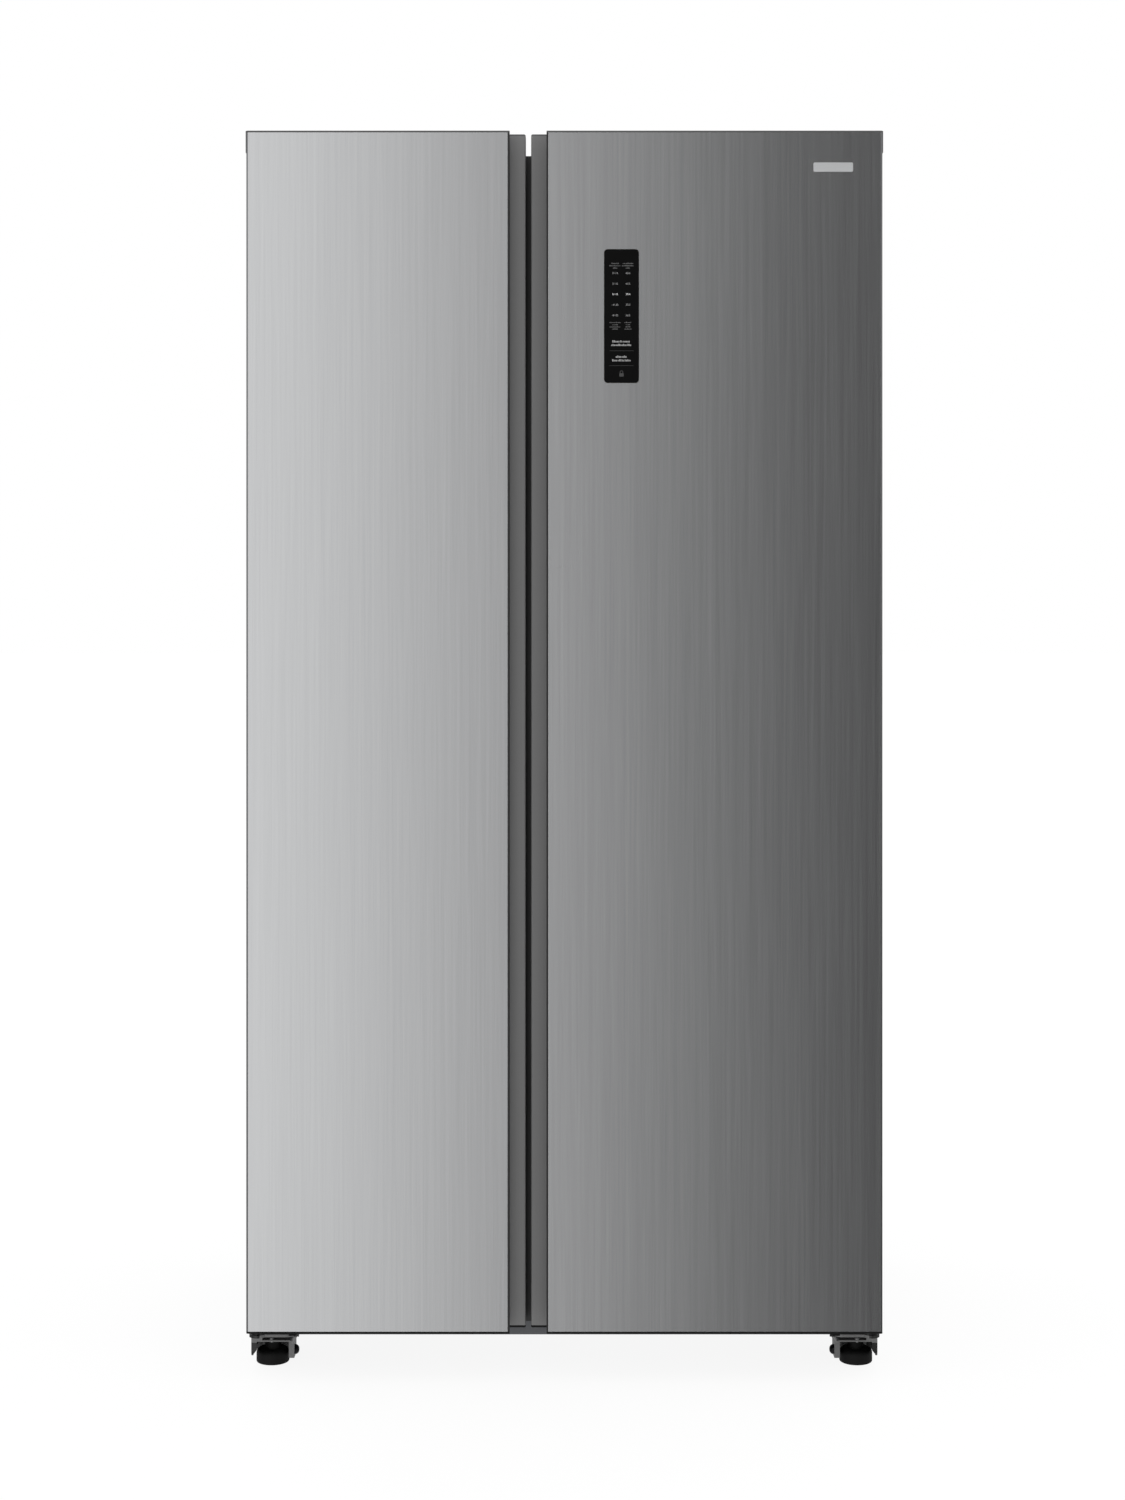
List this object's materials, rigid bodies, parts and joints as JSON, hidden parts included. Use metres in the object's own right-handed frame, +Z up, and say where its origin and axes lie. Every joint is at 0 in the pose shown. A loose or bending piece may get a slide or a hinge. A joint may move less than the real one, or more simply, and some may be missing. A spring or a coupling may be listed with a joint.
{
  "type": "side by side refrigerator",
  "caption": "Tall side by side refrigerator: narrow freezer door and wide fridge door with recessed centre grips, shelves, drawers, door bins and a touch panel.",
  "frame": {"origin": "on the floor, under the middle of the bounding box", "axes": "+X to the viewer's right, +Y from the doors to the back, +Z up"},
  "size_m": [0.91, 0.643, 1.786],
  "materials": {
    "brushed_steel": "vertical brushed, satin lacquer",
    "cabinet_paint": "smooth satin grey paint",
    "rear_steel": "galvanised, dull",
    "chassis_steel": "black satin paint",
    "zinc_steel": "zinc plated, satin",
    "hinge_grey": "dip painted grey, satin",
    "foam": "rigid cellular foam, cast in place",
    "white_liner": "smooth glossy",
    "white_moulding": "satin moulded",
    "dark_cap": "fine grained dark grey",
    "grip_grey": "satin extruded dark grey",
    "black_moulding": "fine grained black",
    "grey_gasket": "soft matt",
    "black_glass": "polished, printed black behind",
    "shelf_glass": "clear polished with a green edge",
    "clear_tub": "clear moulded polystyrene",
    "lamp_lens": "opal diffuser",
    "compressor_black": "baked black enamel",
    "coil_black": "black enamel on steel tube",
    "coil_aluminium": "bright tube and fins",
    "nylon": "natural nylon"
  },
  "bodies": {
    "cabinet": {"cabinet_shell": "cabinet_paint", "rear_panel": "rear_steel", "cabinet_foam": "foam", "freezer_liner": "white_liner", "fridge_liner": "white_liner", "base_frame": "chassis_steel", "machine_cover": "black_moulding", "cord_gland": "black_moulding", "electronics_cover": "dark_cap", "compressor": "compressor_black", "condenser_coil": "coil_black", "condenser_fan_shroud": "black_moulding", "drain_pan": "black_moulding", "evaporator": "coil_aluminium", "evaporator_cover": "white_moulding", "fridge_air_duct": "white_moulding", "interior_lamps": "lamp_lens", "freezer_shelf_glass": "shelf_glass", "fridge_shelf_glass": "shelf_glass", "shelf_front_trims": "white_moulding", "top_hinges": "zinc_steel", "hinge_covers": "dark_cap", "bottom_hinge_left": "hinge_grey", "bottom_hinge_right": "hinge_grey", "fasteners": "zinc_steel"},
    "freezer_door": {"freezer_door_skin": "brushed_steel", "freezer_door_foam": "foam", "freezer_door_liner": "white_liner", "freezer_door_grip": "grip_grey", "freezer_door_top_cap": "dark_cap", "freezer_door_bottom_cap": "black_moulding", "freezer_door_gasket": "grey_gasket", "freezer_door_bin_1": "clear_tub", "freezer_door_bin_2": "clear_tub", "freezer_door_bin_3": "clear_tub", "freezer_door_bin_4": "clear_tub"},
    "fridge_door": {"fridge_door_skin": "brushed_steel", "fridge_door_foam": "foam", "fridge_door_liner": "white_liner", "fridge_door_grip": "grip_grey", "fridge_door_top_cap": "dark_cap", "fridge_door_bottom_cap": "black_moulding", "fridge_door_gasket": "grey_gasket", "fridge_door_bin_1": "clear_tub", "fridge_door_bin_2": "clear_tub", "fridge_door_bin_3": "clear_tub", "fridge_door_bin_4": "clear_tub", "display_panel": "black_glass"},
    "condenser_fan_blade": {"condenser_fan_blade": "black_moulding"},
    "evaporator_fan_blade": {"evaporator_fan_blade": "white_moulding"},
    "freezer_drawer_upper": {"freezer_drawer_upper": "clear_tub"},
    "freezer_drawer_lower": {"freezer_drawer_lower": "clear_tub"},
    "crisper_upper": {"crisper_upper": "clear_tub"},
    "crisper_lower": {"crisper_lower": "clear_tub"},
    "foot_left": {"foot_left": "black_moulding"},
    "foot_right": {"foot_right": "black_moulding"},
    "front_roller_left": {"front_roller_left": "nylon"},
    "front_roller_right": {"front_roller_right": "nylon"},
    "rear_roller_left": {"rear_roller_left": "nylon"},
    "rear_roller_right": {"rear_roller_right": "nylon"}
  },
  "joints": [
    {"name": "freezer_door_hinge", "type": "hinge", "parent": "cabinet", "child": "freezer_door", "pos_m": [-0.441, -0.2915, 0.9], "axis": [0, 0, -1], "range_deg": [0, 120]},
    {"name": "fridge_door_hinge", "type": "hinge", "parent": "cabinet", "child": "fridge_door", "pos_m": [0.441, -0.2915, 0.9], "axis": [0, 0, 1], "range_deg": [0, 120]},
    {"name": "freezer_drawer_upper_slide", "type": "slide", "parent": "cabinet", "child": "freezer_drawer_upper", "axis": [0, -1, 0], "range_m": [0, 0.13]},
    {"name": "freezer_drawer_lower_slide", "type": "slide", "parent": "cabinet", "child": "freezer_drawer_lower", "axis": [0, -1, 0], "range_m": [0, 0.095]},
    {"name": "crisper_upper_slide", "type": "slide", "parent": "cabinet", "child": "crisper_upper", "axis": [0, -1, 0], "range_m": [0, 0.13]},
    {"name": "crisper_lower_slide", "type": "slide", "parent": "cabinet", "child": "crisper_lower", "axis": [0, -1, 0], "range_m": [0, 0.095]},
    {"name": "condenser_fan_blade_spin", "type": "hinge", "parent": "cabinet", "child": "condenser_fan_blade", "pos_m": [0.03, 0.215, 0.168], "axis": [1, 0, 0], "continuous": true},
    {"name": "evaporator_fan_blade_spin", "type": "hinge", "parent": "cabinet", "child": "evaporator_fan_blade", "pos_m": [-0.2365, 0.222, 1.42], "axis": [0, -1, 0], "continuous": true},
    {"name": "foot_left_spin", "type": "hinge", "parent": "cabinet", "child": "foot_left", "pos_m": [-0.427, -0.222, 0.012], "axis": [0, 0, 1], "continuous": true},
    {"name": "front_roller_left_spin", "type": "hinge", "parent": "cabinet", "child": "front_roller_left", "pos_m": [-0.427, -0.1715, 0.024], "axis": [1, 0, 0], "continuous": true},
    {"name": "rear_roller_left_spin", "type": "hinge", "parent": "cabinet", "child": "rear_roller_left", "pos_m": [-0.4, 0.285, 0.022], "axis": [1, 0, 0], "continuous": true},
    {"name": "foot_right_spin", "type": "hinge", "parent": "cabinet", "child": "foot_right", "pos_m": [0.427, -0.222, 0.012], "axis": [0, 0, 1], "continuous": true},
    {"name": "front_roller_right_spin", "type": "hinge", "parent": "cabinet", "child": "front_roller_right", "pos_m": [0.427, -0.1715, 0.024], "axis": [1, 0, 0], "continuous": true},
    {"name": "rear_roller_right_spin", "type": "hinge", "parent": "cabinet", "child": "rear_roller_right", "pos_m": [0.4, 0.285, 0.022], "axis": [1, 0, 0], "continuous": true}
  ]
}
